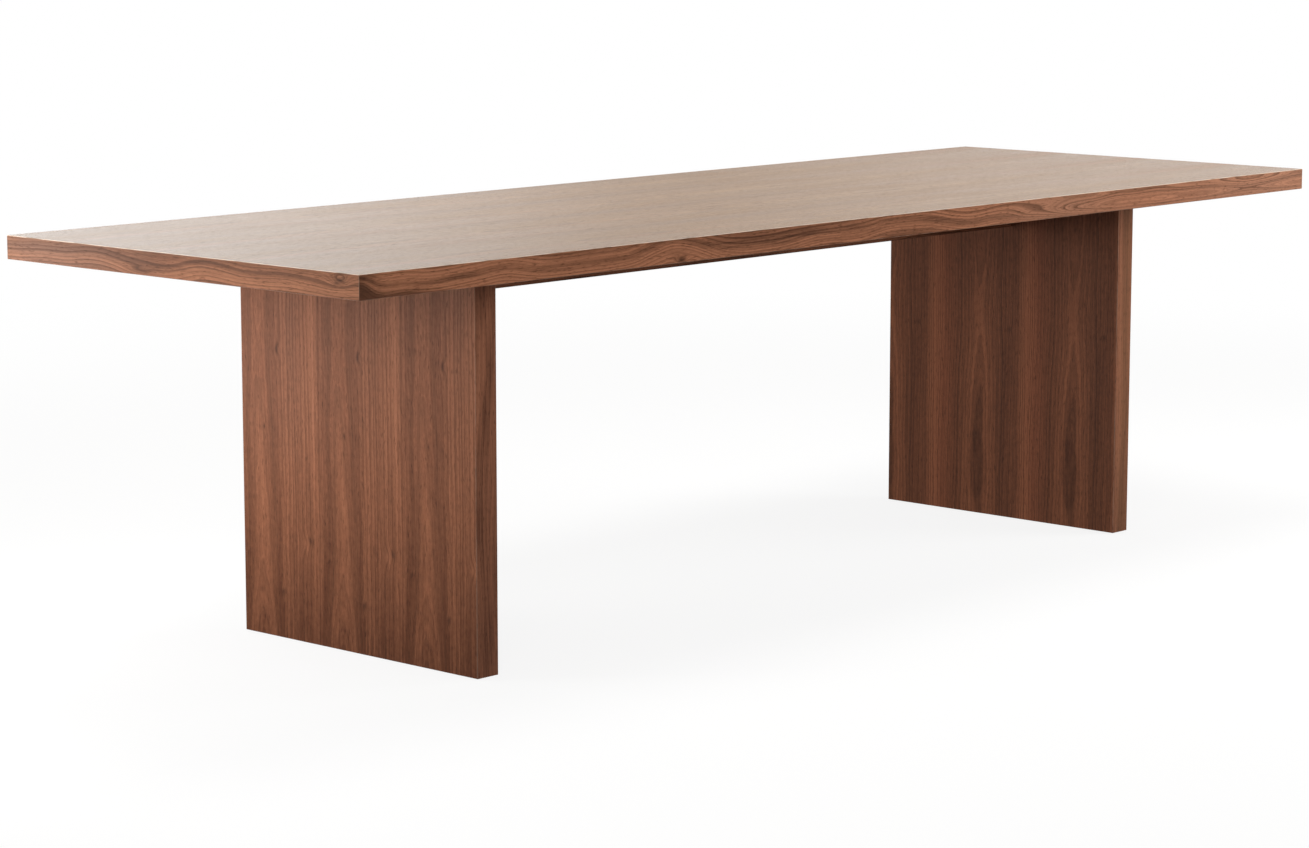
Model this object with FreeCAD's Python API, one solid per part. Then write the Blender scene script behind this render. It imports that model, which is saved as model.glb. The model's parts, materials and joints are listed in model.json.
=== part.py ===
import FreeCAD, Part
import math
import os
from FreeCAD import Vector

# Panel-leg dining table: a veneered top on two veneered panel legs, braced by one beam along the middle.
# Millimetres. Origin on the floor under the middle of the top, X along the length, Y to the rear, Z up.

# Overall sizes
table_length = 2700.0
table_width = 900.0
table_height = 742.0
top_thickness = 42.0

# Panel legs
leg_width = 600.0
leg_thickness = 50.0
leg_end_inset = 400.0
foot_strip_thickness = 14.0

# Beam under the middle of the top
beam_thickness = 50.0
beam_depth = 76.0

# Veneer and solid wood lippings
veneer_thickness = 1.0
lipping_thickness = 10.0
tongue_depth = 6.0
tongue_thickness = 8.0
groove_spare = 0.5
corner_radius = 1.0
arris_radius = 0.7

# Fits
round_clearance = 0.05
hole_clearance = 0.3
cut_overrun = 5.0

# Angle brackets between the legs and the top
bracket_length = 140.0
bracket_reach = 40.0
bracket_drop = 30.0
bracket_thickness = 4.0
bracket_bend_radius = 3.0
bracket_corner_radius = 6.0
bracket_beam_gap = 12.0
bracket_bolt_count = 3
bracket_bolt_end_inset = 22.0

# Bracket bolts and the threaded inserts that they screw into
bracket_bolt_radius = 3.0
bracket_bolt_head_radius = 5.25
bracket_bolt_head_height = 3.3
bracket_bolt_socket_width = 4.0
bracket_bolt_socket_depth = 2.0
bracket_bolt_dome_radius = 1.8
bracket_insert_radius = 5.0
bracket_insert_length = 15.0
bolt_tip_gap = 1.5

# Dowels that place the legs under the top
leg_dowel_radius = 6.0
leg_dowel_length = 44.0
leg_dowel_edge_inset = 70.0
dowel_end_gap = 1.0
dowel_chamfer = 1.0

# Joint at each end of the beam
beam_dowel_radius = 5.0
beam_dowel_length = 50.0
beam_dowel_edge_inset = 18.0
stud_radius = 4.0
stud_nut_spare = 3.0
stud_insert_radius = 6.0
stud_insert_length = 22.0
pocket_end_distance = 45.0
pocket_length = 34.0
pocket_width = 30.0
pocket_corner_radius = 7.0
half_moon_radius = 13.0
half_moon_thickness = 4.0
half_moon_flat_drop = 7.0
stud_nut_width = 13.0
stud_nut_height = 6.5

# Bolts that hold the beam up against the top
beam_bolt_count = 4
beam_bolt_end_inset = 200.0
beam_bolt_radius = 4.0
beam_bolt_head_radius = 6.5
beam_bolt_head_height = 8.0
beam_bolt_socket_width = 6.0
beam_bolt_socket_depth = 4.0
beam_counterbore_radius = 10.0
beam_counterbore_depth = 45.0
beam_washer_radius = 8.5
beam_washer_thickness = 1.6
beam_insert_radius = 6.0
beam_insert_length = 22.0

# Levelling feet
foot_pad_radius = 15.0
foot_pad_height = 8.0
foot_pad_edge_radius = 1.5
foot_reveal = 2.0
foot_recess_gap = 0.5
foot_recess_clearance = 1.0
foot_edge_inset = 60.0
foot_stem_radius = 4.0
foot_stem_length = 38.0
foot_stem_seat = 5.0
foot_stem_chamfer = 0.8
foot_insert_radius = 6.5
foot_insert_length = 37.0

# Places worked out from the sizes above
top_z = table_height
underside_z = table_height - top_thickness
top_end_x = table_length / 2
top_side_y = table_width / 2
leg_outer_x = top_end_x - leg_end_inset
leg_inner_x = leg_outer_x - leg_thickness
leg_middle_x = (leg_outer_x + leg_inner_x) / 2
leg_side_y = leg_width / 2
leg_foot_z = foot_reveal
beam_side_y = beam_thickness / 2
beam_bottom_z = underside_z - beam_depth
stud_z = underside_z - beam_depth / 2
bracket_start_y = beam_side_y + bracket_beam_gap
foot_recess_top_z = foot_pad_height + foot_recess_gap

along_x = Vector(1, 0, 0)
along_y = Vector(0, 1, 0)
along_z = Vector(0, 0, 1)
sides = {"left": -1, "right": 1}
rows = {"front": -1, "rear": 1}


# Helpers

def block(x_pair, y_pair, z_pair):
    low = Vector(min(x_pair), min(y_pair), min(z_pair))
    high = Vector(max(x_pair), max(y_pair), max(z_pair))
    size = high - low
    return Part.makeBox(size.x, size.y, size.z, low)


def rod(radius, start, end):
    run = end - start
    return Part.makeCylinder(radius, run.Length, start, run)


def sleeve(outer_radius, bore_radius, start, end):
    return rod(outer_radius, start, end).cut(rod(bore_radius, start, end))


def cut_all(shape, tools):
    return shape.cut(Part.makeCompound(tools)) if tools else shape


def edges_where(shape, test):
    return [edge for edge in shape.Edges if all(test(vertex.Point) for vertex in edge.Vertexes)]


def near(value, target):
    return math.isclose(value, target, abs_tol=FreeCAD.Base.Precision.confusion())


def hexagon_prism(width, start, run):
    # width is measured across two flats, and run must not lie along Y.
    point_radius = width / math.sqrt(3)
    across = along_y
    other = Vector(run).normalize().cross(across)
    points = []
    for step in range(7):
        angle = math.radians(60 * step)
        points.append(start + (across * math.cos(angle) + other * math.sin(angle)) * point_radius)
    return Part.Face(Part.makePolygon(points)).extrude(run)


def socket_bolt(head_start, direction, head, socket, shank, round_radius):
    # head_start is the middle of the face that bears, and the shank runs from there along direction.
    head_radius, head_height = head
    socket_width, socket_depth = socket
    shank_radius, shank_length = shank
    head_top = head_start - direction * head_height
    head_solid = rod(head_radius, head_start, head_top)
    rim = edges_where(head_solid, lambda point: near((point - head_top).dot(direction), 0))
    head_solid = head_solid.makeFillet(round_radius, rim)
    socket_tool = hexagon_prism(socket_width, head_top, direction * socket_depth)
    shank_solid = rod(shank_radius, head_start, head_start + direction * shank_length)
    return head_solid.cut(socket_tool).fuse(shank_solid)


def dowel(radius, middle, direction, length, chamfer):
    solid = rod(radius, middle - direction * (length / 2), middle + direction * (length / 2))
    rims = [edge for edge in solid.Edges if isinstance(edge.Curve, Part.Circle)]
    return solid.makeChamfer(chamfer, rims)


def dowel_hole(radius, middle, direction, length):
    reach = direction * (length / 2 + dowel_end_gap)
    return rod(radius + round_clearance, middle - reach, middle + reach)


# Places of the fasteners

def bracket_bolt_ys(row):
    run = bracket_length - 2 * bracket_bolt_end_inset
    step = run / (bracket_bolt_count - 1)
    first = bracket_start_y + bracket_bolt_end_inset
    return [row * (first + step * index) for index in range(bracket_bolt_count)]


def bracket_top_bolt_places():
    # Middle of the free part of the flange that lies under the top.
    x = leg_inner_x - (bracket_thickness + bracket_reach) / 2
    return [Vector(side * x, y, underside_z) for side in sides.values()
            for row in rows.values() for y in bracket_bolt_ys(row)]


def bracket_leg_bolt_places(side):
    # Middle of the free part of the flange that lies on the leg.
    z = underside_z - (bracket_thickness + bracket_drop) / 2
    return [Vector(side * leg_inner_x, y, z) for row in rows.values() for y in bracket_bolt_ys(row)]


def leg_dowel_places(side):
    y = leg_side_y - leg_dowel_edge_inset
    return [Vector(side * leg_middle_x, row * y, underside_z) for row in rows.values()]


def beam_dowel_places(side):
    low = beam_bottom_z + beam_dowel_edge_inset
    high = underside_z - beam_dowel_edge_inset
    return [Vector(side * leg_inner_x, 0, z) for z in (low, high)]


def stud_place(side):
    return Vector(side * leg_inner_x, 0, stud_z)


def beam_bolt_xs():
    first = beam_bolt_end_inset - leg_inner_x
    step = -2 * first / (beam_bolt_count - 1)
    return [first + step * index for index in range(beam_bolt_count)]


def foot_place(side, row):
    return Vector(side * leg_middle_x, row * (leg_side_y - foot_edge_inset), 0)


# Holes that more than one piece shares

def top_holes():
    holes = []
    for place in bracket_top_bolt_places():
        end = place + along_z * bracket_insert_length
        holes.append(rod(bracket_insert_radius + round_clearance, place, end))
    for x in beam_bolt_xs():
        start = Vector(x, 0, underside_z)
        end = start + along_z * beam_insert_length
        holes.append(rod(beam_insert_radius + round_clearance, start, end))
    for side in sides.values():
        for place in leg_dowel_places(side):
            holes.append(dowel_hole(leg_dowel_radius, place, along_z, leg_dowel_length))
    return holes


def leg_holes(side):
    into_leg = along_x * side
    holes = []
    for place in bracket_leg_bolt_places(side):
        end = place + into_leg * bracket_insert_length
        holes.append(rod(bracket_insert_radius + round_clearance, place, end))
    start = stud_place(side)
    holes.append(rod(stud_insert_radius + round_clearance, start, start + into_leg * stud_insert_length))
    for place in beam_dowel_places(side):
        holes.append(dowel_hole(beam_dowel_radius, place, along_x, beam_dowel_length))
    for place in leg_dowel_places(side):
        holes.append(dowel_hole(leg_dowel_radius, place, along_z, leg_dowel_length))
    for row in rows.values():
        holes.append(foot_recess(side, row))
        holes.append(foot_insert_hole(side, row))
    return holes


def foot_recess(side, row):
    floor = foot_place(side, row)
    return rod(foot_pad_radius + foot_recess_clearance, floor, floor + along_z * foot_recess_top_z)


def foot_insert_hole(side, row):
    start = foot_place(side, row) + along_z * foot_recess_top_z
    return rod(foot_insert_radius + round_clearance, start, start + along_z * foot_insert_length)


def beam_pocket(side):
    # Routed from below, so that the nut on the stud can be reached with a spanner.
    near_x = side * (leg_inner_x - pocket_end_distance)
    far_x = near_x - side * pocket_length
    half = pocket_width / 2
    tool = block((near_x, far_x), (-half, half), (beam_bottom_z - cut_overrun, stud_z + half))
    uprights = edges_where(tool, lambda p: near(p.x, far_x))
    uprights = [edge for edge in uprights if near(edge.tangentAt(edge.FirstParameter).dot(along_y), 0)]
    return tool.makeFillet(pocket_corner_radius, uprights)


def beam_holes():
    holes = []
    for x in beam_bolt_xs():
        mouth = Vector(x, 0, beam_bottom_z)
        seat = mouth + along_z * beam_counterbore_depth
        holes.append(rod(beam_counterbore_radius, mouth, seat))
        holes.append(rod(beam_bolt_radius + hole_clearance, seat, Vector(x, 0, underside_z)))
    for side in sides.values():
        holes.append(beam_pocket(side))
        start = stud_place(side)
        holes.append(rod(stud_radius + hole_clearance, start, start - along_x * side * pocket_end_distance))
        for place in beam_dowel_places(side):
            holes.append(dowel_hole(beam_dowel_radius, place, along_x, beam_dowel_length))
    return holes


# Top

def top_slab(z_pair):
    slab = block((-top_end_x, top_end_x), (-top_side_y, top_side_y), z_pair)
    uprights = [edge for edge in slab.Edges if near(abs(edge.tangentAt(0).dot(along_z)), 1)]
    return slab.makeFillet(corner_radius, uprights)


def core_rectangle(inset, z_pair):
    x = top_end_x - lipping_thickness - inset
    y = top_side_y - lipping_thickness - inset
    return block((-x, x), (-y, y), z_pair)


def top_core_z_pair():
    return (underside_z + veneer_thickness, top_z - veneer_thickness)


def tongue_pair(middle):
    return (middle - tongue_thickness / 2, middle + tongue_thickness / 2)


def top_core():
    board = core_rectangle(0, top_core_z_pair())
    groove_z = tongue_pair((underside_z + top_z) / 2)
    groove = core_rectangle(0, groove_z).cut(core_rectangle(tongue_depth + groove_spare, groove_z))
    return cut_all(board, [groove] + top_holes())


def top_face_veneer():
    sheet = top_slab((top_z - veneer_thickness, top_z))
    return sheet.makeFillet(arris_radius, edges_where(sheet, lambda p: near(p.z, top_z)))


def top_underside_veneer():
    sheet = top_slab((underside_z, underside_z + veneer_thickness))
    sheet = sheet.makeFillet(arris_radius, edges_where(sheet, lambda p: near(p.z, underside_z)))
    return cut_all(sheet, top_holes())


def top_lipping_ring():
    z_pair = top_core_z_pair()
    tongue_z = tongue_pair((underside_z + top_z) / 2)
    bars = top_slab(z_pair).cut(core_rectangle(0, z_pair))
    tongues = core_rectangle(0, tongue_z).cut(core_rectangle(tongue_depth, tongue_z))
    return bars.fuse(tongues).removeSplitter()


def mitre_wedge(corner_a, corner_b):
    # Plan of one lipping between two corners of the top, with its ends cut at 45 degrees.
    depth = lipping_thickness + tongue_depth
    inner_a = corner_a - Vector(math.copysign(depth, corner_a.x), math.copysign(depth, corner_a.y), 0)
    inner_b = corner_b - Vector(math.copysign(depth, corner_b.x), math.copysign(depth, corner_b.y), 0)
    plan = Part.Face(Part.makePolygon([corner_a, corner_b, inner_b, inner_a, corner_a]))
    plan.translate(along_z * underside_z)
    return plan.extrude(along_z * top_thickness)


def top_lippings():
    ring = top_lipping_ring()
    front_left = Vector(-top_end_x, -top_side_y, 0)
    front_right = Vector(top_end_x, -top_side_y, 0)
    rear_left = Vector(-top_end_x, top_side_y, 0)
    rear_right = Vector(top_end_x, top_side_y, 0)
    runs = {
        "top_front_lipping": (front_left, front_right),
        "top_rear_lipping": (rear_left, rear_right),
        "top_left_lipping": (front_left, rear_left),
        "top_right_lipping": (front_right, rear_right),
    }
    return {name: ring.common(mitre_wedge(*corners)) for name, corners in runs.items()}


# Legs

def leg_core_x_pair(side):
    return (side * (leg_inner_x + veneer_thickness), side * (leg_outer_x - veneer_thickness))


def leg_core_y():
    return leg_side_y - lipping_thickness


def leg_groove(side, row, depth):
    y = row * leg_core_y()
    return block(tongue_pair(side * leg_middle_x), (y, y - row * depth), (leg_foot_z, underside_z))


def leg_core(side):
    y = leg_core_y()
    board = block(leg_core_x_pair(side), (-y, y), (leg_foot_z + foot_strip_thickness, underside_z))
    grooves = [leg_groove(side, row, tongue_depth + groove_spare) for row in rows.values()]
    return cut_all(board, grooves + leg_holes(side))


def leg_foot_strip(side):
    y = leg_core_y()
    strip = block(leg_core_x_pair(side), (-y, y), (leg_foot_z, leg_foot_z + foot_strip_thickness))
    grooves = [leg_groove(side, row, tongue_depth + groove_spare) for row in rows.values()]
    return cut_all(strip, grooves + leg_holes(side))


def leg_lipping(side, row):
    y = row * leg_core_y()
    bar = block(leg_core_x_pair(side), (y, row * leg_side_y), (leg_foot_z, underside_z))
    return bar.fuse(leg_groove(side, row, tongue_depth)).removeSplitter()


def leg_veneer(side, face_x, back_x):
    sheet = block((side * face_x, side * back_x), (-leg_side_y, leg_side_y), (leg_foot_z, underside_z))
    arrises = [edge for edge in edges_where(sheet, lambda p: near(p.x, side * face_x))
               if not all(near(vertex.Z, underside_z) for vertex in edge.Vertexes)]
    return cut_all(sheet.makeFillet(arris_radius, arrises), leg_holes(side))


def leg_pieces():
    pieces = {}
    for name, side in sides.items():
        pieces[f"{name}_leg_core"] = leg_core(side)
        pieces[f"{name}_leg_foot_strip"] = leg_foot_strip(side)
        pieces[f"{name}_leg_outer_veneer"] = leg_veneer(side, leg_outer_x, leg_outer_x - veneer_thickness)
        pieces[f"{name}_leg_inner_veneer"] = leg_veneer(side, leg_inner_x, leg_inner_x + veneer_thickness)
        for row_name, row in rows.items():
            pieces[f"{name}_leg_{row_name}_lipping"] = leg_lipping(side, row)
    return pieces


# Beam

def beam_pieces():
    x_pair = (-leg_inner_x, leg_inner_x)
    core_y = beam_side_y - veneer_thickness
    core_bottom_z = beam_bottom_z + veneer_thickness
    holes = beam_holes()
    core = block(x_pair, (-core_y, core_y), (core_bottom_z, underside_z))
    bottom_sheet = block(x_pair, (-core_y, core_y), (beam_bottom_z, core_bottom_z))
    pieces = {"beam_core": cut_all(core, holes), "beam_bottom_veneer": cut_all(bottom_sheet, holes)}
    for name, row in rows.items():
        sheet = block(x_pair, (row * core_y, row * beam_side_y), (beam_bottom_z, underside_z))
        lower_arris = edges_where(sheet, lambda p: near(p.y, row * beam_side_y) and near(p.z, beam_bottom_z))
        pieces[f"beam_{name}_veneer"] = sheet.makeFillet(arris_radius, lower_arris)
    return pieces


# Angle brackets and their bolts

def angle_bracket(side, row):
    leg_face_x = side * leg_inner_x
    y_pair = (row * bracket_start_y, row * (bracket_start_y + bracket_length))
    reach_x = leg_face_x - side * bracket_reach
    drop_z = underside_z - bracket_drop
    top_flange = block((leg_face_x, reach_x), y_pair, (underside_z - bracket_thickness, underside_z))
    leg_flange = block((leg_face_x, leg_face_x - side * bracket_thickness), y_pair, (drop_z, underside_z))
    angle = top_flange.fuse(leg_flange).removeSplitter()
    bend_x = leg_face_x - side * bracket_thickness
    bend = edges_where(angle, lambda p: near(p.x, bend_x) and near(p.z, underside_z - bracket_thickness))
    angle = angle.makeFillet(bracket_bend_radius, bend)
    flange_ends = [edge for edge in angle.Edges if is_flange_corner(edge, reach_x, drop_z)]
    angle = angle.makeFillet(bracket_corner_radius, flange_ends)
    return cut_all(angle, bracket_holes(side))


def is_flange_corner(edge, reach_x, drop_z):
    # The short edges at the free corners of both flanges, which run through the sheet's thickness.
    points = [vertex.Point for vertex in edge.Vertexes]
    through = near(edge.Length, bracket_thickness)
    at_reach = all(near(point.x, reach_x) for point in points)
    at_drop = all(near(point.z, drop_z) for point in points)
    return through and (at_reach or at_drop)


def bracket_holes(side):
    radius = bracket_bolt_radius + hole_clearance
    down = along_z * (bracket_thickness + cut_overrun)
    inward = along_x * side * (bracket_thickness + cut_overrun)
    holes = [rod(radius, p, p - down) for p in bracket_top_bolt_places() if p.x * side > 0]
    return holes + [rod(radius, p, p - inward) for p in bracket_leg_bolt_places(side)]


def bracket_bolt(place, direction):
    head_start = place - direction * bracket_thickness
    shank_length = bracket_thickness + bracket_insert_length - bolt_tip_gap
    head = (bracket_bolt_head_radius, bracket_bolt_head_height)
    socket = (bracket_bolt_socket_width, bracket_bolt_socket_depth)
    shank = (bracket_bolt_radius, shank_length)
    return socket_bolt(head_start, direction, head, socket, shank, bracket_bolt_dome_radius)


def bracket_insert(place, direction):
    bore = bracket_bolt_radius + round_clearance
    return sleeve(bracket_insert_radius, bore, place, place + direction * bracket_insert_length)


def bracket_pieces():
    pieces = {}
    leg_bolts = []
    leg_inserts = []
    for name, side in sides.items():
        for row_name, row in rows.items():
            pieces[f"{name}_{row_name}_bracket"] = angle_bracket(side, row)
        places = bracket_leg_bolt_places(side)
        leg_bolts += [bracket_bolt(place, along_x * side) for place in places]
        leg_inserts += [bracket_insert(place, along_x * side) for place in places]
    top_places = bracket_top_bolt_places()
    pieces["bracket_leg_bolts"] = Part.makeCompound(leg_bolts)
    pieces["bracket_leg_inserts"] = Part.makeCompound(leg_inserts)
    pieces["bracket_top_bolts"] = Part.makeCompound([bracket_bolt(p, along_z) for p in top_places])
    pieces["bracket_top_inserts"] = Part.makeCompound([bracket_insert(p, along_z) for p in top_places])
    return pieces


# Dowels

def dowel_pieces():
    leg_dowels = []
    beam_dowels = []
    for side in sides.values():
        for place in leg_dowel_places(side):
            leg_dowels.append(dowel(leg_dowel_radius, place, along_z, leg_dowel_length, dowel_chamfer))
        for place in beam_dowel_places(side):
            beam_dowels.append(dowel(beam_dowel_radius, place, along_x, beam_dowel_length, dowel_chamfer))
    return {"leg_dowels": Part.makeCompound(leg_dowels), "beam_end_dowels": Part.makeCompound(beam_dowels)}


# Studs, half-moon plates and nuts at the ends of the beam

def beam_end_stud(side):
    start = stud_place(side) + along_x * side * (stud_insert_length - bolt_tip_gap)
    grip = pocket_end_distance + half_moon_thickness + stud_nut_height + stud_nut_spare
    return rod(stud_radius, start, stud_place(side) - along_x * side * grip)


def half_moon_plate(side):
    seat = stud_place(side) - along_x * side * pocket_end_distance
    back = seat - along_x * side * half_moon_thickness
    disc = rod(half_moon_radius, seat, back)
    flat_z = stud_z - half_moon_flat_drop
    y_pair = (-half_moon_radius, half_moon_radius)
    below = block((seat.x, back.x), y_pair, (flat_z, flat_z - half_moon_radius))
    return disc.cut(below).cut(rod(stud_radius + hole_clearance, seat, back))


def stud_nut(side):
    seat = stud_place(side) - along_x * side * (pocket_end_distance + half_moon_thickness)
    run = along_x * -side * stud_nut_height
    return hexagon_prism(stud_nut_width, seat, run).cut(rod(stud_radius + round_clearance, seat, seat + run))


def stud_insert(side):
    start = stud_place(side)
    bore = stud_radius + round_clearance
    return sleeve(stud_insert_radius, bore, start, start + along_x * side * stud_insert_length)


def beam_end_pieces():
    makers = {
        "beam_end_studs": beam_end_stud,
        "half_moon_plates": half_moon_plate,
        "stud_nuts": stud_nut,
        "stud_inserts": stud_insert,
    }
    return {name: Part.makeCompound([make(side) for side in sides.values()]) for name, make in makers.items()}


# Bolts that hold the beam up against the top

def beam_bolt(x):
    seat = Vector(x, 0, beam_bottom_z + beam_counterbore_depth)
    head_start = seat - along_z * beam_washer_thickness
    through_beam = beam_depth - beam_counterbore_depth
    shank_length = beam_washer_thickness + through_beam + beam_insert_length - bolt_tip_gap
    head = (beam_bolt_head_radius, beam_bolt_head_height)
    socket = (beam_bolt_socket_width, beam_bolt_socket_depth)
    return socket_bolt(head_start, along_z, head, socket, (beam_bolt_radius, shank_length), arris_radius)


def beam_washer(x):
    seat = Vector(x, 0, beam_bottom_z + beam_counterbore_depth)
    bore = beam_bolt_radius + hole_clearance
    return sleeve(beam_washer_radius, bore, seat - along_z * beam_washer_thickness, seat)


def beam_insert(x):
    start = Vector(x, 0, underside_z)
    bore = beam_bolt_radius + round_clearance
    return sleeve(beam_insert_radius, bore, start, start + along_z * beam_insert_length)


def beam_bolt_pieces():
    makers = {"beam_bolts": beam_bolt, "beam_bolt_washers": beam_washer, "beam_bolt_inserts": beam_insert}
    return {name: Part.makeCompound([make(x) for x in beam_bolt_xs()]) for name, make in makers.items()}


# Levelling feet

def foot_pad(side, row):
    floor = foot_place(side, row)
    pad = rod(foot_pad_radius, floor, floor + along_z * foot_pad_height)
    rims = [edge for edge in pad.Edges if isinstance(edge.Curve, Part.Circle)]
    pad = pad.makeFillet(foot_pad_edge_radius, rims)
    seat = floor + along_z * (foot_pad_height - foot_stem_seat)
    return pad.cut(rod(foot_stem_radius + round_clearance, seat, floor + along_z * foot_pad_height))


def foot_stem(side, row):
    start = foot_place(side, row) + along_z * (foot_pad_height - foot_stem_seat)
    stem = rod(foot_stem_radius, start, start + along_z * foot_stem_length)
    upper_rim = edges_where(stem, lambda p: near(p.z, start.z + foot_stem_length))
    return stem.makeChamfer(foot_stem_chamfer, upper_rim)


def foot_insert(side, row):
    start = foot_place(side, row) + along_z * foot_recess_top_z
    bore = foot_stem_radius + round_clearance
    return sleeve(foot_insert_radius, bore, start, start + along_z * foot_insert_length)


def foot_pieces():
    pieces = {}
    inserts = []
    for name, side in sides.items():
        for row_name, row in rows.items():
            pieces[f"{name}_{row_name}_foot_pad"] = foot_pad(side, row)
            pieces[f"{name}_{row_name}_foot_stem"] = foot_stem(side, row)
            inserts.append(foot_insert(side, row))
    pieces["foot_inserts"] = Part.makeCompound(inserts)
    return pieces


def build():
    pieces = {
        "top_core": top_core(),
        "top_face_veneer": top_face_veneer(),
        "top_underside_veneer": top_underside_veneer(),
    }
    groups = (top_lippings, leg_pieces, beam_pieces, bracket_pieces, dowel_pieces, beam_end_pieces,
              beam_bolt_pieces, foot_pieces)
    for group in groups:
        pieces.update(group())
    return pieces


os.makedirs("parts", exist_ok=True)
for node, shape in build().items():
    valid = shape.isValid() and all(solid.isClosed() for solid in shape.Solids)
    print(f"{node}: {len(shape.Solids)} solids, {shape.Volume:.0f} mm3, {'ok' if valid else 'NOT VALID'}")
    shape.exportStep(f"parts/{node}.step")
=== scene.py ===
import json
import math

import bmesh
import bpy
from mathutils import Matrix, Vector


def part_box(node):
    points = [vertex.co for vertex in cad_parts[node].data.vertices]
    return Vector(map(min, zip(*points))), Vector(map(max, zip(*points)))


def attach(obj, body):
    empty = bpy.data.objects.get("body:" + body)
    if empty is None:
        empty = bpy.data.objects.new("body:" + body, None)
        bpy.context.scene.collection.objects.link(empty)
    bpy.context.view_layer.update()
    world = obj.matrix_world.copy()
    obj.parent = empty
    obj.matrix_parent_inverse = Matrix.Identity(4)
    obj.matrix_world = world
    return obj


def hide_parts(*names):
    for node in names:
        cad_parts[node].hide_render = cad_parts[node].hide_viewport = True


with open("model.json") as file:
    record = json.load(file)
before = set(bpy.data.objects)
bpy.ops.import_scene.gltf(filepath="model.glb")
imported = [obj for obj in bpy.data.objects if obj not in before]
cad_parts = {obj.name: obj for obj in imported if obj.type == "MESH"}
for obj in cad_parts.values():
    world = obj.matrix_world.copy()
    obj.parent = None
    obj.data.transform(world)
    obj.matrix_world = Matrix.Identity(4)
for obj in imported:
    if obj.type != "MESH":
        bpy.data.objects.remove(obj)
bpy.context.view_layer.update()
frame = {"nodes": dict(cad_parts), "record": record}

scene = bpy.context.scene
scene.view_settings.view_transform = "Standard"
print("frame loaded:", len(frame["nodes"]), "nodes")


# a shader socket that takes part in sums, so 1 - mask adds its own Math node
class Sock:
    def __init__(self, finish, socket):
        self.finish = finish
        self.socket = socket

    def maths(self, operation, *values):
        return self.finish.node("ShaderNodeMath", {"operation": operation}, dict(enumerate(values)))

    def __add__(self, other):
        return self.maths("ADD", self, other)

    def __radd__(self, other):
        return self.maths("ADD", other, self)

    def __sub__(self, other):
        return self.maths("SUBTRACT", self, other)

    def __rsub__(self, other):
        return self.maths("SUBTRACT", other, self)

    def __mul__(self, other):
        return self.maths("MULTIPLY", self, other)

    def __rmul__(self, other):
        return self.maths("MULTIPLY", other, self)

    def __truediv__(self, other):
        return self.maths("DIVIDE", self, other)

    def __rtruediv__(self, other):
        return self.maths("DIVIDE", other, self)

    def __pow__(self, other):
        return self.maths("POWER", self, other)

    def __rpow__(self, other):
        return self.maths("POWER", other, self)

    def floor(self):
        return self.maths("FLOOR", self)

    def fraction(self):
        return self.maths("FRACT", self)

    def root(self):
        return self.maths("SQRT", self)

    def size(self):
        return self.maths("ABSOLUTE", self)

    def bell(self):  # exp(-x), for soft round bumps
        return self.maths("EXPONENT", self * -1)

    def most(self, other):
        return self.maths("MAXIMUM", self, other)

    # soft step from low to high, 0 to 1
    def step(self, low, high, start=0.0, end=1.0):
        return self.finish.node("ShaderNodeMapRange", {"interpolation_type": "SMOOTHSTEP"},
                                {"Value": self, "From Min": low, "From Max": high, "To Min": start,
                                 "To Max": end})


noiseRange = {"middle": 0.5, "stretch": 5}  # brings the noise node's output to about -1 to 1


# one material, lamp or world under construction
class Finish:
    def __init__(self, owner):
        owner.use_nodes = True
        self.owner = owner
        self.tree = owner.node_tree
        self.tree.nodes.clear()

    def node(self, kind, settings=None, sockets=None, out=0):
        made = self.tree.nodes.new(kind)
        for name, value in (settings or {}).items():
            setattr(made, name, value)
        for name, value in (sockets or {}).items():
            if isinstance(value, Sock):
                self.tree.links.new(value.socket, made.inputs[name])
            else:
                made.inputs[name].default_value = value
        return Sock(self, made.outputs[out]) if made.outputs else made

    def parts(self, vector, axes):
        return {axis: self.node("ShaderNodeSeparateXYZ", None, {0: vector}, axis.upper()) for axis in axes}

    def place(self):  # metres in the table's own frame, by axis
        return self.parts(self.node("ShaderNodeTexCoord", out="Object"), "xyz")

    def vector(self, x, y, z):
        return self.node("ShaderNodeCombineXYZ", None, {0: x, 1: y, 2: z})

    def scaled(self, place, scale):
        return self.vector(*[place[axis] * scale for axis in "xyz"])

    def noise(self, spot, detail=1.0, roughness=0.5):  # about -1 to 1
        value = self.node("ShaderNodeTexNoise", {"noise_dimensions": "3D"},
                          {"Vector": spot, "Scale": 1.0, "Detail": detail, "Roughness": roughness})
        return (value - noiseRange["middle"]) * noiseRange["stretch"]

    def draw(self, number):  # one random number from 0 to 1 for each whole number
        return self.node("ShaderNodeTexWhiteNoise", {"noise_dimensions": "1D"}, {"W": number})

    def mix(self, share, first, second):  # sockets 6 and 7 and output 2 are the Mix node's colours
        return self.node("ShaderNodeMix", {"data_type": "RGBA", "blend_type": "MIX"},
                         {0: share, 6: colour(first), 7: colour(second)}, 2)

    def bump(self, height, depth):
        return self.node("ShaderNodeBump", None, {"Strength": 1.0, "Distance": depth, "Height": height})

    def surface(self, sockets):
        shader = self.node("ShaderNodeBsdfPrincipled", None, sockets)
        self.node("ShaderNodeOutputMaterial", None, {"Surface": shader})
        return self.owner


# screen colour 0-255 to the linear colour that a socket holds, by the usual screen curve
def colour(value):
    if isinstance(value, Sock):
        return value
    linear = [c / 255 / 12.92 if c <= 10 else ((c / 255 + 0.055) / 1.055) ** 2.4 for c in value]
    return (*linear, 1.0)


def newFinish(name):
    return Finish(bpy.data.materials.new(name))


def wear(material, *nodes):
    for name in nodes:
        slots = frame["nodes"][name].data.materials
        slots.clear()
        slots.append(material)


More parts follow.
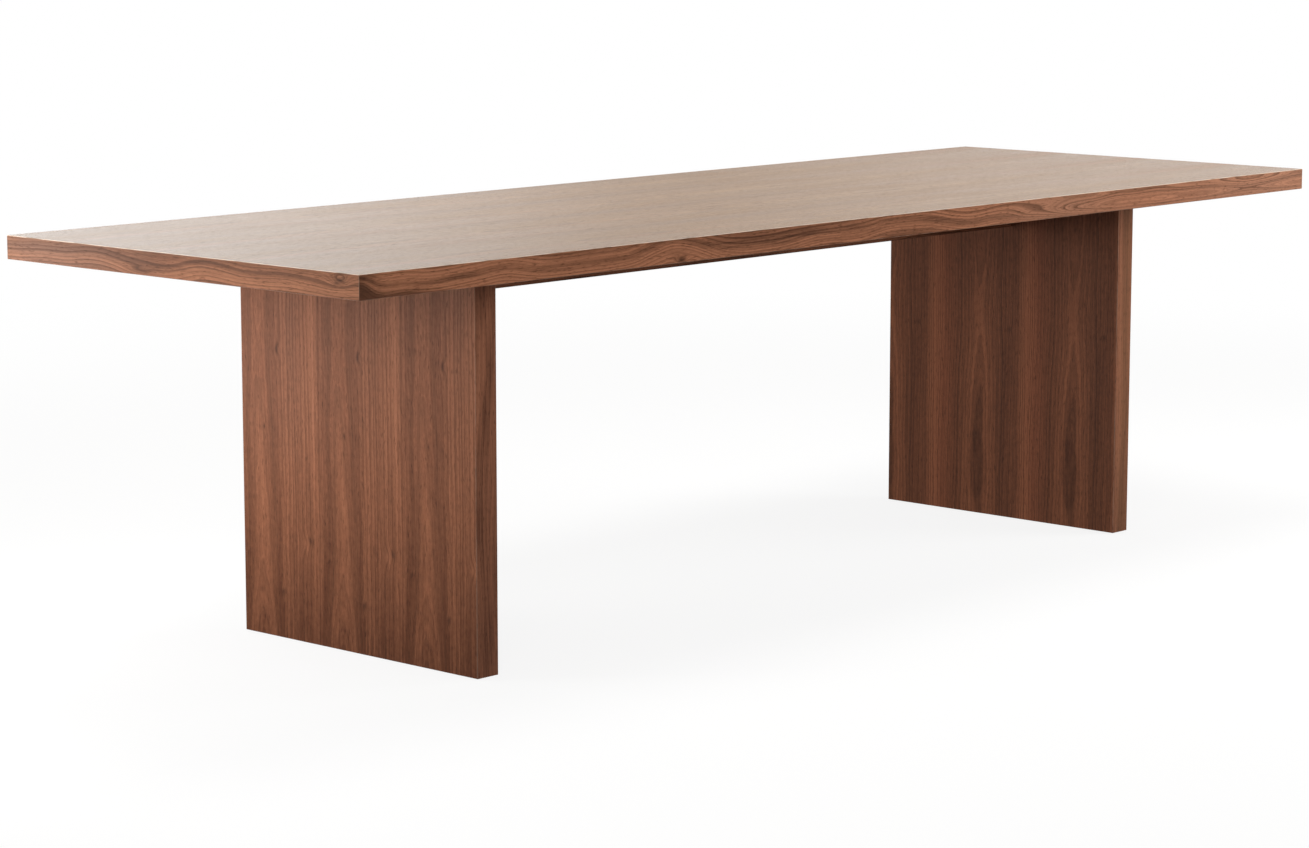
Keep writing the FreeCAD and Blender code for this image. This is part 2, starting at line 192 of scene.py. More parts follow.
# walnut under satin lacquer: the legs and edges are redder than the top
redWalnut = {"light": (168, 109, 79), "deep": (97, 60, 43), "line": (62, 38, 26), "pore": (46, 29, 21),
             "pale": (182, 106, 76)}
edgeWalnut = {"light": (192, 129, 96), "deep": (107, 70, 51), "line": (68, 41, 28), "pore": (48, 30, 21),
              "pale": (178, 131, 106)}
endWalnut = {"light": (184, 123, 89), "deep": (107, 68, 47), "line": (78, 50, 36), "pore": (56, 36, 26),
             "pale": (149, 114, 97)}
# the top's greyer olive colour is partly painted sheen, standing in for its lacquer's grazing reflection
oliveWalnut = {"light": (147, 113, 75), "deep": (113, 84, 51), "line": (92, 64, 41), "pore": (62, 44, 31),
               "blush": (170, 100, 70)}
legOuterWalnut = dict(redWalnut, deep=(97, 58, 40))
legInnerWalnut = dict(redWalnut, light=(168, 106, 76), deep=(97, 58, 41))
legEdgeWalnut = dict(redWalnut, light=(168, 111, 84), deep=(97, 61, 46), pale=(140, 96, 68))

# pale colour for the arrises: partly wear, partly a painted highlight along the edges
edgeRubAndHighlight = {"wide": 0.0022, "patchy": 22, "detail": 2.0, "wornFrom": -1.6, "wornTo": 0.4, "shine": 0.06,
           "colour": (232, 206, 184)}


# 1 on the arrises at these distances from the table's middle, broken up as hands and cloths rub them
# the pale colour put there is partly wear and partly a painted highlight
def rubbedAndHighlightedArris(finish, place, edges):
    rubAndHighlight = None
    for axis, distance in edges.items():
        line = (place[axis].size() - distance).size().step(edgeRubAndHighlight["wide"], 0.0)
        rubAndHighlight = line if rubAndHighlight is None else rubAndHighlight.most(line)
    worn = finish.noise(finish.scaled(place, edgeRubAndHighlight["patchy"]), edgeRubAndHighlight["detail"])
    return rubAndHighlight * worn.step(edgeRubAndHighlight["wornFrom"], edgeRubAndHighlight["wornTo"])


# a knot or swirl lifts the rings round it, and its eye may be dark
def knot(across, along, wide, long, lift, dark=0.0, sharp=3.0):
    return {"across": across, "along": along, "wide": wide, "long": long, "lift": lift, "dark": dark,
            "sharp": sharp}


stripWide = 1.0  # far wider than any strip


# a swell bends the whole strip's figure up or down
def swell(along, long, lift):
    return knot(0.0, along, stripWide, long, lift)


# a lighter or darker place in the wood, soft or with a clear rim
def patch(across, along, wide, long, lift, crisp=False):
    return {"across": across, "along": along, "wide": wide, "long": long, "lift": lift, "crisp": crisp}


# years that grew darker, or lighter with a depth below zero
def shade(radius, width, depth):
    return {"radius": radius, "width": width, "depth": depth}


# rings that bend round a tip and run on along the strip
def tongue(across, wide, tipFrom, tipTo, lift):
    return {"across": across, "wide": wide, "tipFrom": tipFrom, "tipTo": tipTo, "lift": lift}


def roundBump(u, w, spot):
    du = (u - spot["across"]) / spot["wide"]
    dw = (w - spot["along"]) / spot["long"]
    return (du * du + dw * dw).bell()


def addKnots(field, u, w, knots):
    eyes = None
    for spot in knots:
        bell = roundBump(u, w, spot)
        field = field + bell * spot["lift"]
        if spot["dark"]:
            eye = bell ** spot["sharp"] * spot["dark"]
            eyes = eye if eyes is None else eyes.most(eye)
    return field, eyes


# fine marks in the wood: how many to a metre across and along the grain, and how much duller they are
woodMarks = {
    "cloud": {"across": 14, "along": 2.0, "detail": 2.0, "roughness": 0.5, "dull": 0.02},
    "flicker": {"across": 150, "along": 100, "detail": 1.0, "roughness": 0.5},
    "fibre": {"across": 330, "along": 9, "detail": 3.0, "roughness": 0.65},
    "tick": {"across": 600, "along": 60, "detail": 1.0, "roughness": 0.5, "dull": 0.1, "from": 0.40,
             "to": 1.1},
    "pore": {"across": 2600, "along": 110, "detail": 1.0, "roughness": 0.5, "dull": 0.06, "from": 0.3,
             "to": 0.9},
}
# a ring's line rises slowly and ends sharply, and each ring has its own strength and tone
ringMarks = {
    "along": 0.6, "unevenAcross": 60, "bandSeed": 7, "bandRoughness": 0.62,
    "rise": (0.30, 0.88), "fall": (1.0, 0.90), "faintest": 0.35,
    "hairRise": (0.2, 0.8), "hairFall": (1.0, 0.85),
    "toneSeed": 0.5, "toneMiddle": 0.5, "shadeLeast": 0.3, "shadeSpread": 1.2,
}
blushStreak = {"across": 30, "along": 0.5, "seed": 5, "detail": 2.0, "from": 0.1, "to": 1.1}
patchRim = (0.30, 0.55)


# colours, gloss and pores; radius is the distance from the heart of the log, in metres
def walnutSurface(finish, radius, across, along, depth, look, eyes, rubAndHighlight):
    seed = look["seed"]
    wood = look["wood"]
    lengthwise = along * ringMarks["along"]
    uneven = finish.noise(finish.vector(radius * ringMarks["unevenAcross"], lengthwise, seed))
    rings = (radius + uneven * look["uneven"]) / look["ringWidth"]
    index = rings.floor()
    part = rings - index
    strength = ringMarks["faintest"] + finish.draw(index + seed) * (1 - ringMarks["faintest"])
    line = part.step(*ringMarks["rise"]) * part.step(*ringMarks["fall"]) * strength
    if look["fade"] < 1:  # lines are softer round the crown
        line = line * radius.step(look["fadeFrom"], look["fadeTo"], look["fade"], 1.0)
    hair = (rings * look["hairs"]).fraction()  # finer lines between the rings
    hair = hair.step(*ringMarks["hairRise"]) * hair.step(*ringMarks["hairFall"])
    band = finish.noise(finish.vector(radius * look["bands"], lengthwise, seed + ringMarks["bandSeed"]),
                        look["bandDetail"], ringMarks["bandRoughness"])

    marks = {}
    for name, mark in woodMarks.items():
        spot = finish.vector(across * mark["across"], along * mark["along"], depth * mark["across"] + seed)
        marks[name] = finish.noise(spot, mark["detail"], mark["roughness"])
        if "from" in mark:
            marks[name] = marks[name].step(mark["from"], mark["to"])

    ringTone = finish.draw(index + seed + ringMarks["toneSeed"])
    share = look["tone"] + band * look["bandDepth"] + (ringTone - ringMarks["toneMiddle"]) * look["ringDepth"]
    share = share + marks["cloud"] * look["cloudDepth"]
    share = share + marks["flicker"] * look["flicker"] + marks["fibre"] * look["fibreDepth"]
    ringShare = ringMarks["shadeLeast"] + ringTone * ringMarks["shadeSpread"]
    for years in look["shades"]:
        away = (radius - years["radius"]) / years["width"]
        share = share - (away * away).bell() * years["depth"] * ringShare
    for spot in look["patches"]:
        bell = roundBump(across, along, spot)
        share = share + (bell.step(*patchRim) if spot["crisp"] else bell) * spot["lift"]
    base = finish.mix(share, wood["deep"], wood["light"])
    if look["blush"]:
        streak = finish.vector(across * blushStreak["across"], along * blushStreak["along"],
                               seed + blushStreak["seed"])
        streak = finish.noise(streak, blushStreak["detail"]).step(blushStreak["from"], blushStreak["to"])
        base = finish.mix(streak * look["blush"], base, wood["blush"])
    for spot in look["tints"]:
        base = finish.mix(roundBump(across, along, spot) * spot["lift"], base, wood["pale"])
    base = finish.mix(hair * look["hairDepth"], base, wood["line"])
    base = finish.mix(line * look["lineDepth"], base, wood["line"])
    base = finish.mix(marks["tick"] * look["tickDepth"], base, wood["pore"])
    base = finish.mix(marks["pore"] * look["poreDepth"], base, wood["pore"])
    if eyes:
        base = finish.mix(eyes, base, wood["pore"])
    # paler arrises: partly wear, partly a painted highlight
    base = finish.mix(rubAndHighlight * look["rubAndHighlight"], base, edgeRubAndHighlight["colour"])

    dull = look["roughness"]
    for name in ("cloud", "tick", "pore"):
        dull = dull + marks[name] * woodMarks[name]["dull"]
    return finish.surface({
        "Base Color": base,
        "Roughness": dull - rubAndHighlight * edgeRubAndHighlight["shine"],
        "IOR": look["ior"],
        "Normal": finish.bump(1 - marks["tick"].most(marks["pore"]), look["poreBump"]),
    })


# how the rings of a leaf stray from round, from slow to fine
ringStray = {
    "drift": {"across": 10, "along": 1.4, "detail": 1.0},
    "waver": {"across": 30, "along": 7, "detail": 1.0},
    "ripple": {"across": 90, "along": 40, "detail": 2.0},
}
leafCut = {"swayAlong": 1.3, "wanderSeed": 3.0, "bendAcross": 40, "bendAlong": 11, "bend": 0.003,
           "deep": 0.02}


# crown-cut veneer laid leaf beside leaf, each leaf the next slice of the same log
def crownVeneer(name, across, along, look):
    finish = newFinish(name)
    place = finish.place()
    leafPlace = (place[across] - look["firstSeam"]) / look["leafWidth"]
    leaf = leafPlace.floor()
    u = (leafPlace - leaf) * look["leafWidth"] - look["crown"]
    w = place[along] + leaf * look["slip"]
    sliced = leaf * look["change"]
    cut = sliced + look["seed"]
    sway = finish.noise(finish.vector(cut, w * leafCut["swayAlong"], 0.0)) * look["sway"]
    wander = finish.noise(finish.vector(w * look["waves"], cut, leafCut["wanderSeed"])) * look["wander"]
    heart = look["heartDepth"] + w * look["taper"] + wander
    radius = ((u + sway) ** 2 + heart ** 2).root()
    for kind, stray in ringStray.items():
        spot = finish.vector(u * stray["across"], w * stray["along"], cut)
        radius = radius + finish.noise(spot, stray["detail"]) * look[kind]
    radius, eyes = addKnots(radius, u, w, look["knots"])
    bend = finish.noise(finish.vector(u * leafCut["bendAcross"], w * leafCut["bendAlong"], cut))
    bent = u + sway + bend * leafCut["bend"]
    rubAndHighlight = rubbedAndHighlightedArris(finish, place, look["edges"])
    return walnutSurface(finish, radius, bent, w, sliced * leafCut["deep"], look, eyes, rubAndHighlight)


stripCut = {"flowDeep": 6, "rippleAcross": 45, "rippleAlong": 11, "rippleDeep": 30, "rippleDetail": 2.0}


# solid walnut strip, whose figure flows along its length
def flowingStrip(name, across, along, look):
    finish = newFinish(name)
    place = finish.place()
    third = ({"x", "y", "z"} - {across, along}).pop()
    u = place[across] - look["middle"]
    w = place[along]
    v = place[third]
    seed = look["seed"]
    flow = finish.vector(u * look["flowAcross"], w * look["flowAlong"], v * stripCut["flowDeep"] + seed)
    ripple = finish.vector(u * stripCut["rippleAcross"], w * stripCut["rippleAlong"],
                           v * stripCut["rippleDeep"] + seed)
    field = u + finish.noise(flow) * look["flow"]
    field = field + finish.noise(ripple, stripCut["rippleDetail"]) * look["ripple"]
    for spot in look["tongues"]:
        away = (u - spot["across"]) / spot["wide"]
        field = field + (away * away).bell() * w.step(spot["tipFrom"], spot["tipTo"]) * spot["lift"]
    field, eyes = addKnots(field, u, w, look["knots"])
    rubAndHighlight = rubbedAndHighlightedArris(finish, place, look["edges"])
    return walnutSurface(finish, field, u, w, v, look, eyes, rubAndHighlight)


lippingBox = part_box("top_front_lipping")
topMiddle = (lippingBox[0].z + lippingBox[1].z) / 2
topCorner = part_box("top_face_veneer")[1]
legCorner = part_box("right_leg_outer_veneer")[1]
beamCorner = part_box("beam_rear_veneer")[1]

satin = {
    "bandDetail": 4.0, "poreDepth": 0.22, "poreBump": 0.00004, "roughness": 0.42, "rubAndHighlight": 0.16, "blush": 0.0,
    "shades": [], "patches": [], "tints": [], "knots": [],
}
veneer = dict(
    satin, tone=0.66, bands=30, bandDepth=0.30, ringDepth=0.20, cloudDepth=0.08, flicker=0.07,
    fibreDepth=0.16, ringWidth=0.0082, uneven=0.0022, lineDepth=0.48, tickDepth=0.45, hairs=2.4,
    hairDepth=0.12, fadeFrom=0.046, fadeTo=0.070, fade=0.6, ior=1.18, edges={"y": legCorner.y},
    change=0.03, slip=0.004, sway=0.004, waves=2.2, wander=0.004, heartDepth=0.042, taper=0.002,
    drift=0.0025, waver=0.0012, ripple=0.0005,
)
# the top's arrises are much paler than the other parts': painted highlight as well as wear
topVeneer = dict(
    veneer, wood=oliveWalnut, seed=3.1, firstSeam=-0.45, leafWidth=0.225, crown=0.1, sway=0.010, wander=0.010,
    roughness=0.38, ior=1.30, lineDepth=0.70, fibreDepth=0.26, tickDepth=0.65, hairDepth=0.24, blush=0.26,
    edges={"x": topCorner.x, "y": topCorner.y}, rubAndHighlight=0.85,
)
undersideVeneer = dict(topVeneer, wood=redWalnut, seed=19.3, ior=1.12, roughness=0.50, blush=0.0, rubAndHighlight=0.16)
legOuter = dict(
    veneer, wood=legOuterWalnut, seed=11.4, ior=1.13, firstSeam=-0.2365, leafWidth=0.213, crown=0.0615,
    shades=[shade(0.060, 0.010, 0.34), shade(0.040, 0.008, -0.16)],
    knots=[
        knot(0.0, -0.02, 0.045, 0.090, -0.018),
        knot(0.096, 0.185, 0.015, 0.018, 0.009),
        knot(0.082, 0.191, 0.008, 0.011, 0.003, 0.55, 2.5),
        knot(-0.055, 0.094, 0.008, 0.014, 0.006, 0.65, 3.0),
        knot(-0.009, 0.391, 0.005, 0.008, 0.002, 0.50),
        knot(-0.046, 0.533, 0.008, 0.014, 0.006, 0.55, 3.0),
    ],
    # the first patch darkens the lower part of the leg across its whole width: painted shade towards the
    # floor
    patches=[patch(0.0, -0.1, 1.0, 0.28, -0.60), patch(0.097, 0.184, 0.010, 0.011, 0.30)],
)
legInner = dict(
    veneer, wood=legInnerWalnut, seed=27.3, firstSeam=-0.322, leafWidth=0.245, crown=0.130,
    lineDepth=0.60, hairDepth=0.34, fade=0.8, ringWidth=0.0072,
    shades=[shade(0.075, 0.022, 0.24), shade(0.128, 0.014, -0.60)],
    knots=[knot(-0.077, 0.409, 0.007, 0.014, 0.004, 0.6, 4.0)],
    patches=[
        patch(0.0, 0.360, 0.030, 0.150, 0.05),
        patch(0.004, 0.110, 0.022, 0.085, -0.34, True), patch(0.004, 0.215, 0.019, 0.088, -0.24, True),
    ],
    tints=[patch(-0.130, 0.35, 0.018, 1.0, 0.20), patch(0.100, 0.30, 0.030, 0.80, 0.26)],
)
lipping = dict(
    satin, wood=edgeWalnut, tone=0.62, bands=55, bandDepth=0.95, ringDepth=0.32, cloudDepth=0.18,
    flicker=0.04, fibreDepth=0.28, ringWidth=0.0064, uneven=0.0030, lineDepth=0.64, tickDepth=0.48, hairs=2.6,
    hairDepth=0.15, fade=1, ior=1.12, edges={"x": topCorner.x}, middle=topMiddle,
    flowAcross=9.0, flowAlong=4.5, flow=0.006, ripple=0.0006, tongues=[],
)
frontLipping = dict(
    lipping, seed=8.2, tongues=[tongue(-0.008, 0.018, 0.24, 0.68, 0.055)],
    knots=[
        swell(-1.03, 0.10, -0.010), swell(-0.615, 0.085, -0.020), swell(-0.40, 0.12, 0.012),
        swell(0.02, 0.14, -0.010), swell(0.20, 0.10, 0.008), swell(1.15, 0.12, -0.008),
        knot(-0.016, -0.598, 0.007, 0.016, 0.012, 0.80, 2.0),
        knot(0.0, -1.35, 0.030, 0.032, -0.022, 0.28, 1.0),
    ],
    # the full-height patches at 0.40 and 1.15 are painted light towards the right end, the one at -1.36
    # painted shade
    patches=[
        patch(0.011, -1.23, 0.008, 0.060, 0.50), patch(-0.015, -1.23, 0.008, 0.065, -0.60),
        patch(-0.002, -1.12, 0.006, 0.050, -0.35), patch(-0.009, -0.612, 0.005, 0.014, -0.45),
        patch(-0.017, -1.10, 0.004, 0.045, 0.60), patch(0.008, -0.34, 0.008, 0.160, -0.26),
        patch(-0.012, -0.44, 0.007, 0.110, 0.30), patch(-0.016, 0.65, 0.005, 0.025, -0.40),
        patch(0.0, 0.40, 0.060, 0.320, 0.48), patch(0.0, 1.15, 0.060, 0.450, 0.40),
        patch(0.0, -1.36, 0.060, 0.060, -0.88),
    ],
    # the pale tints are painted sheen towards the right end of the lip
    tints=[patch(0.0, 1.22, 0.100, 0.420, 0.62), patch(0.0, 0.50, 0.100, 0.200, 0.50)],
)
endLipping = dict(
    lipping, wood=endWalnut, seed=14.7, tone=0.50, bandDepth=0.70, fibreDepth=0.20, lineDepth=0.56,
    hairDepth=0.10, edges={"y": topCorner.y},
    knots=[
        swell(0.23, 0.10, -0.010), swell(0.03, 0.09, 0.008), swell(-0.13, 0.10, -0.006),
        knot(0.009, -0.405, 0.010, 0.022, 0.016, 0.70, 6.0),
        knot(0.004, -0.399, 0.003, 0.008, 0.004, 0.60, 1.5),
        knot(0.013, -0.413, 0.003, 0.006, 0.003, 0.55, 1.5),
        knot(-0.012, 0.09, 0.006, 0.030, 0.008, 0.30, 1.0),
    ],
    # the patch at 0.22 is painted shade, the one at -0.32 painted light, and the pale tint painted sheen at
    # the rear
    patches=[patch(0.0, 0.22, 0.060, 0.180, -0.34), patch(0.0, -0.32, 0.060, 0.160, 0.08)],
    tints=[patch(0.0, 0.36, 0.060, 0.240, 0.60)],
)
legLipping = dict(
    lipping, wood=legEdgeWalnut, seed=21.0, middle=0.0, flowAlong=2.4, flow=0.012, bands=40, bandDepth=0.35,
    ringWidth=0.009, lineDepth=0.35, tone=0.64, edges={"x": legCorner.x},
    # the two wide patches near the floor, at along 0.02 and 0.05, darken the legs' edges there: painted shade
    patches=[
        patch(0.908, 0.35, 0.004, 0.60, 0.20), patch(0.925, 0.02, 0.040, 0.16, -0.55),
        patch(-0.920, 0.625, 0.008, 0.050, 0.45), patch(-0.933, 0.560, 0.010, 0.055, 0.65),
        patch(-0.945, 0.485, 0.009, 0.050, 0.55), patch(-0.908, 0.595, 0.006, 0.045, -0.20),
        patch(-0.917, 0.530, 0.007, 0.045, -0.25), patch(-0.928, 0.450, 0.008, 0.045, -0.25),
        patch(-0.940, 0.395, 0.008, 0.035, -0.20), patch(-0.948, 0.264, 0.006, 0.045, -0.40),
        patch(-0.910, 0.30, 0.020, 0.12, -0.12), patch(-0.920, 0.076, 0.008, 0.060, -0.25),
        patch(-0.930, 0.05, 0.040, 0.16, -0.20),
    ],
    tints=[patch(0.930, 0.35, 0.022, 1.0, 0.62)],
)
# the beam's veneers have a low tone: painted shade under the top
beamVeneer = dict(lipping, wood=redWalnut, seed=33.0, tone=0.48, bandDepth=0.40, lineDepth=0.40,
                  edges={"y": beamCorner.y}, rubAndHighlight=0.0)
beamUnder = dict(beamVeneer, seed=35.0, middle=0.0, rubAndHighlight=0.14)

wear(crownVeneer("walnutTop", "y", "x", topVeneer), "top_face_veneer")
wear(crownVeneer("walnutUnderside", "y", "x", undersideVeneer), "top_underside_veneer")
wear(crownVeneer("walnutLegOuter", "y", "z", legOuter), "left_leg_outer_veneer", "right_leg_outer_veneer")
wear(crownVeneer("walnutLegInner", "y", "z", legInner), "left_leg_inner_veneer", "right_leg_inner_veneer")
wear(flowingStrip("walnutFrontEdge", "z", "x", frontLipping), "top_front_lipping", "top_rear_lipping")
wear(flowingStrip("walnutEndEdge", "z", "y", endLipping), "top_left_lipping", "top_right_lipping")
wear(flowingStrip("walnutLegEdge", "x", "z", legLipping), "left_leg_front_lipping", "left_leg_rear_lipping",
     "right_leg_front_lipping", "right_leg_rear_lipping")
wear(flowingStrip("walnutBeam", "z", "x", beamVeneer), "beam_front_veneer", "beam_rear_veneer")
wear(flowingStrip("walnutBeamUnder", "y", "x", beamUnder), "beam_bottom_veneer")
print("walnut done")


speckle = {"detail": 4.0, "fineness": 0.65, "spread": 0.8, "cloudDetail": 2.0, "cloudSpread": 0.5}


# boards, metal and plastic
def speckled(name, look):
    finish = newFinish(name)
    place = finish.place()
    grain = finish.noise(finish.scaled(place, look["scale"]), speckle["detail"], speckle["fineness"])
    cloud = finish.noise(finish.scaled(place, look["cloudScale"]), speckle["cloudDetail"])
    base = finish.mix(grain.step(-speckle["spread"], speckle["spread"]), look["low"], look["high"])
    cloud = cloud.step(-speckle["cloudSpread"], speckle["cloudSpread"])
    return finish.surface({
        "Base Color": finish.mix(cloud * look["cloud"], base, look["cloudColour"]),
        "Roughness": look["roughness"] + grain * look["roughSpread"],
        "Metallic": look["metallic"],
        "Normal": finish.bump(grain, look["bump"]),
    })


coreBoard = {
    "scale": 900, "cloudScale": 40, "low": (142, 108, 76), "high": (186, 150, 112), "cloud": 0.3,
    "cloudColour": (160, 122, 88), "roughness": 0.85, "roughSpread": 0.05, "metallic": 0.0, "bump": 0.0002,
}
blackCoat = {
    "scale": 1400, "cloudScale": 60, "low": (24, 24, 25), "high": (34, 34, 35), "cloud": 0.3,
    "cloudColour": (42, 42, 42), "roughness": 0.48, "roughSpread": 0.08, "metallic": 0.0, "bump": 0.0001,
}
zincSteel = {
    "scale": 1800, "cloudScale": 160, "low": (176, 178, 178), "high": (206, 206, 202), "cloud": 0.35,
    "cloudColour": (186, 188, 196), "roughness": 0.34, "roughSpread": 0.1, "metallic": 1.0, "bump": 0.00002,
}
padNylon = {
    "scale": 2200, "cloudScale": 120, "low": (26, 26, 27), "high": (38, 38, 39), "cloud": 0.25,
    "cloudColour": (48, 48, 48), "roughness": 0.55, "roughSpread": 0.08, "metallic": 0.0, "bump": 0.00008,
}
beech = {
    "scale": 700, "cloudScale": 50, "low": (196, 160, 120), "high": (222, 190, 150), "cloud": 0.3,
    "cloudColour": (206, 172, 132), "roughness": 0.7, "roughSpread": 0.05, "metallic": 0.0, "bump": 0.0001,
}

looks = {
    "core_board": speckled("fibreBoard", coreBoard),
    "bracket_black": speckled("blackPowderCoat", blackCoat),
    "zinc_steel": speckled("zincSteel", zincSteel),
    "pad_plastic": speckled("padNylon", padNylon),
    "beech_dowel": speckled("beech", beech),
}
for part in frame["record"]["subparts"]:
    if part["material_slot"] in looks:
        wear(looks[part["material_slot"]], part["node"])
print("boards, metal and plastic done")


# screw thread on the levelling feet's stems
thread = {"pitch": 0.00125, "depth": 0.00062, "around": 32, "stepsPerTurn": 8, "chamfer": 0.0008,
          "flank": 2.6, "root": 0.15}


def threadRows(build, start, length, radius):
    rowCount = int(length / thread["pitch"] * thread["stepsPerTurn"])
    rows = []
    for row in range(rowCount + 1):
        along = length * row / rowCount
        fromEnd = min(along, length - along)
        ring = []
        for column in range(thread["around"]):
            phase = (along / thread["pitch"] - column / thread["around"]) % 1.0
            crest = min(1.0, max(0.0, abs(phase - 0.5) * thread["flank"] - thread["root"]))
            reach = min(radius - thread["depth"] * (1 - crest), radius - thread["chamfer"] + fromEnd)
            angle = 2 * math.pi * column / thread["around"]
            spot = Vector((reach * math.cos(angle), reach * math.sin(angle), along))
            ring.append(build.verts.new(start + spot))
        rows.append(ring)
    return rows


def threadedStem(foot):
    low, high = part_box(foot + "_stem")
    middle = (low + high) / 2
    build = bmesh.new()
    rows = threadRows(build, Vector((middle.x, middle.y, low.z)), high.z - low.z, (high.x - low.x) / 2)
    for lower, upper in zip(rows, rows[1:]):
        for column in range(thread["around"]):
            after = (column + 1) % thread["around"]
            build.faces.new((lower[column], lower[after], upper[after], upper[column])).smooth = True
    build.faces.new(reversed(rows[0]))
    build.faces.new(rows[-1])
    mesh = bpy.data.meshes.new(foot + "_threaded_stem")
    build.to_mesh(mesh)
    build.free()
    mesh.materials.append(looks["zinc_steel"])
    piece = bpy.data.objects.new(foot + "_threaded_stem", mesh)
    scene.collection.objects.link(piece)
    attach(piece, foot)
    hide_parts(foot + "_stem")


for foot in ("left_front_foot", "left_rear_foot", "right_front_foot", "right_rear_foot"):
    threadedStem(foot)
print("screw threads done")


# camera, floor and light
shot = {"lens": 98.95, "sensor": 36.0, "farthest": 300, "place": (-5.1555, -4.5997, 1.379), "turn": 47.247,
        "dip": 8.852}
cameraData = bpy.data.cameras.new("camera")
cameraData.lens = shot["lens"]
cameraData.sensor_width = shot["sensor"]
cameraData.sensor_fit = "HORIZONTAL"
cameraData.clip_end = shot["farthest"]
camera = bpy.data.objects.new("camera", cameraData)
camera.location = shot["place"]
camera.rotation_euler = (math.radians(90 - shot["dip"]), 0, math.radians(-shot["turn"]))
scene.collection.objects.link(camera)
scene.camera = camera

studio = {"floorHalf": 90.0, "floorColour": (255, 254, 252), "floorBounce": (52, 51, 50), "glowNear": 0.86,
          "glowFrom": 2.2, "glowTo": 5.0, "ambient": 0.20, "white": (255, 255, 255), "black": (0, 0, 0)}


# 1 for what the camera sees, straight or in a reflection
def seenByCamera(finish):
    path = [finish.node("ShaderNodeLightPath", out=name)
            for name in ("Is Camera Ray", "Is Glossy Ray", "Is Transmission Ray")]
    return path[0].most(path[1]).most(path[2])


# matt floor that takes the table's shadow, and fades to white away from it
def paleFloor():
    mesh = bpy.data.meshes.new("floor")
    half = studio["floorHalf"]
    corners = [(-half, -half, 0), (half, -half, 0), (half, half, 0), (-half, half, 0)]
    mesh.from_pydata(corners, [], [(0, 1, 2, 3)])
    floor = bpy.data.objects.new("floor", mesh)
    scene.collection.objects.link(floor)
    finish = newFinish("paleFloor")
    seen = seenByCamera(finish)
    place = finish.place()
    away = (place["x"] * place["x"] + place["y"] * place["y"]).root()
    glowShare = seen * away.step(studio["glowFrom"], studio["glowTo"], studio["glowNear"], 1.0)
    dull, pale = [finish.node("ShaderNodeBsdfDiffuse", None, {"Color": colour(studio[name])})
                  for name in ("floorBounce", "floorColour")]
    matt = finish.node("ShaderNodeMixShader", None, {0: seen, 1: dull, 2: pale})
    glow = finish.node("ShaderNodeEmission", None, {"Color": colour(studio["white"]), "Strength": 1.0})
    both = finish.node("ShaderNodeMixShader", None, {0: glowShare, 1: matt, 2: glow})
    clear = finish.node("ShaderNodeBsdfTransparent")
    below = finish.node("ShaderNodeNewGeometry", out="Backfacing")  # seen from below, the floor is clear
    both = finish.node("ShaderNodeMixShader", None, {0: below, 1: both, 2: clear})
    finish.node("ShaderNodeOutputMaterial", None, {"Surface": both})
    mesh.materials.append(finish.owner)


def whiteRoom():
    world = bpy.data.worlds.new("whiteRoom")
    scene.world = world
    finish = Finish(world)
    white = colour(studio["white"])
    dim, bright = [finish.node("ShaderNodeBackground", None, {"Color": white, "Strength": strength})
                   for strength in (studio["ambient"], 1.0)]
    both = finish.node("ShaderNodeMixShader", None, {0: seenByCamera(finish), 1: dim, 2: bright})
    finish.node("ShaderNodeOutputWorld", None, {"Surface": both})


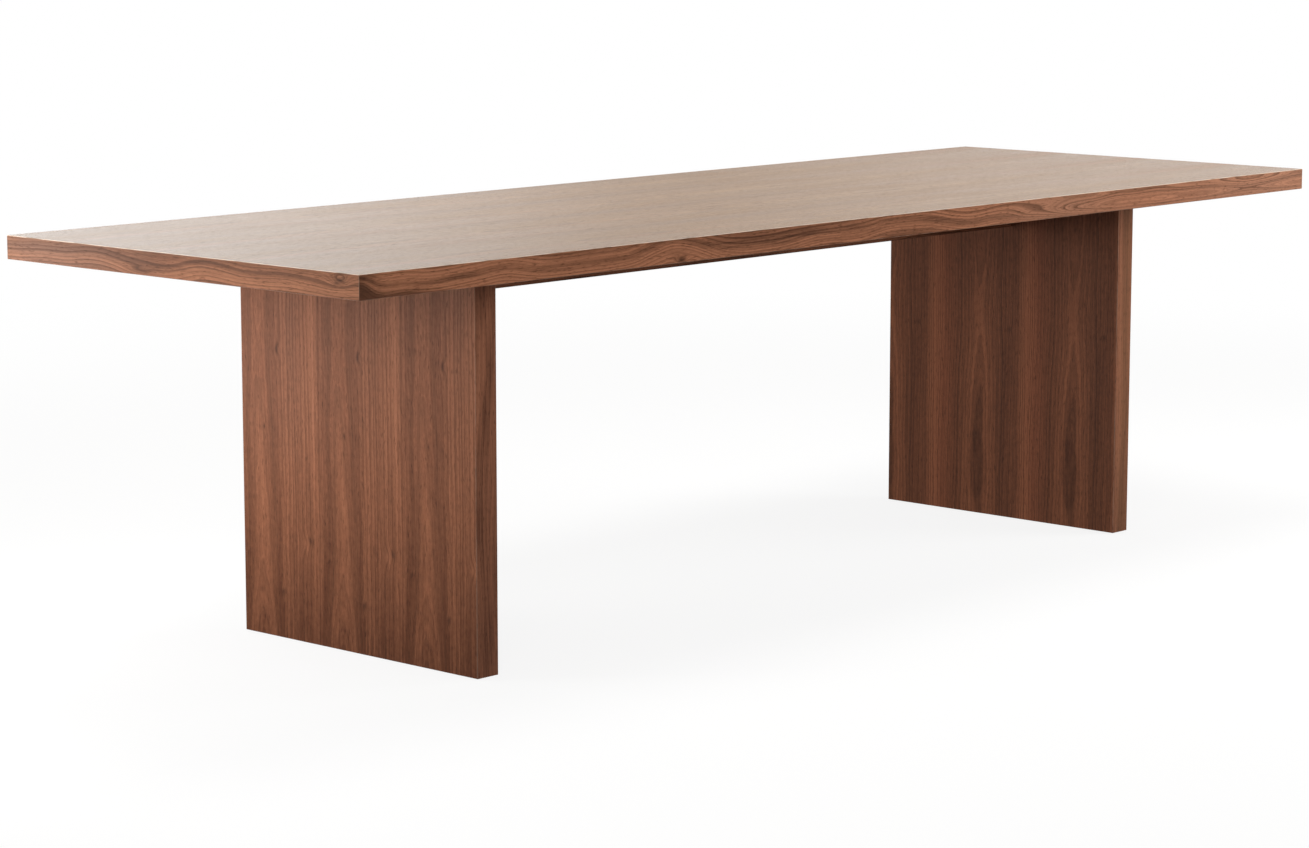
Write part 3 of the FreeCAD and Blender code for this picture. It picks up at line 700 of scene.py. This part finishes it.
# a box that isn't mirrored lights the table without showing in its lacquer
softBoxes = {
    "overheadBox": {"place": (0.45, 0.0, 3.28), "aim": (0.45, 0.0, 0.45), "size": (2.4, 1.6), "watts": 62,
                    "mirrored": True},
    "rearLeftBox": {"place": (-2.30, 1.05, 0.75), "aim": (-0.95, 0.1, 0.50), "size": (0.9, 0.9), "watts": 19,
                    "mirrored": True},
    "lowRearBox": {"place": (-1.50, 0.95, 0.40), "aim": (-0.95, 0.1, 0.45), "size": (0.5, 0.5), "watts": 3.9,
                   "mirrored": True},
    "leftBox": {"place": (-2.10, -0.10, 0.66), "aim": (-0.95, 0.0, 0.45), "size": (0.9, 0.9), "watts": 1.5,
                "mirrored": True},
    "lowLeftBox": {"place": (-3.20, -2.20, 1.30), "aim": (0.0, 0.0, 0.40), "size": (1.2, 1.2), "watts": 26,
                   "mirrored": False},
    "frontBox": {"place": (0.20, -3.00, 1.10), "aim": (0.0, 0.0, 0.45), "size": (1.6, 1.6), "watts": 14,
                 "mirrored": False},
    "frontRightBox": {"place": (2.70, -1.90, 1.10), "aim": (1.1, 0.0, 0.6), "size": (2.0, 2.0), "watts": 54,
                      "mirrored": False},
    "farLeftBox": {"place": (0.06, 5.65, 2.20), "aim": (-2.4, 0.0, 0.9), "size": (8.6, 2.4), "watts": 117,
                   "mirrored": True},
    "farRightBox": {"place": (5.02, 1.76, 1.30), "aim": (0.6, 0.0, 0.9), "size": (4.4, 2.0), "watts": 13,
                    "mirrored": True},
}
clothGain = 2.25  # makes up for the light that the fade to the edges takes


# a cloth-fronted box, brightest in the middle and fading to its edges
def softBox(name, look):
    data = bpy.data.lights.new(name, "AREA")
    data.shape = "RECTANGLE"
    data.size, data.size_y = look["size"]
    data.energy = look["watts"]
    finish = Finish(data)
    front = finish.parts(finish.node("ShaderNodeNewGeometry", out="Parametric"), "xy")
    u, v = [front[axis] * 2 - 1 for axis in "xy"]  # -1 to 1 from edge to edge
    cloth = finish.mix((1 - u * u) * (1 - v * v), studio["black"], studio["white"])
    glow = finish.node("ShaderNodeEmission", None, {"Color": cloth, "Strength": clothGain})
    finish.node("ShaderNodeOutputLight", None, {"Surface": glow})
    lamp = bpy.data.objects.new(name, data)
    lamp.location = look["place"]
    lamp.rotation_euler = (Vector(look["aim"]) - Vector(look["place"])).to_track_quat("-Z", "Y").to_euler()
    lamp.visible_camera = False
    lamp.visible_glossy = look["mirrored"]
    scene.collection.objects.link(lamp)


paleFloor()
whiteRoom()
for name, look in softBoxes.items():
    softBox(name, look)
print("camera, floor and light done")
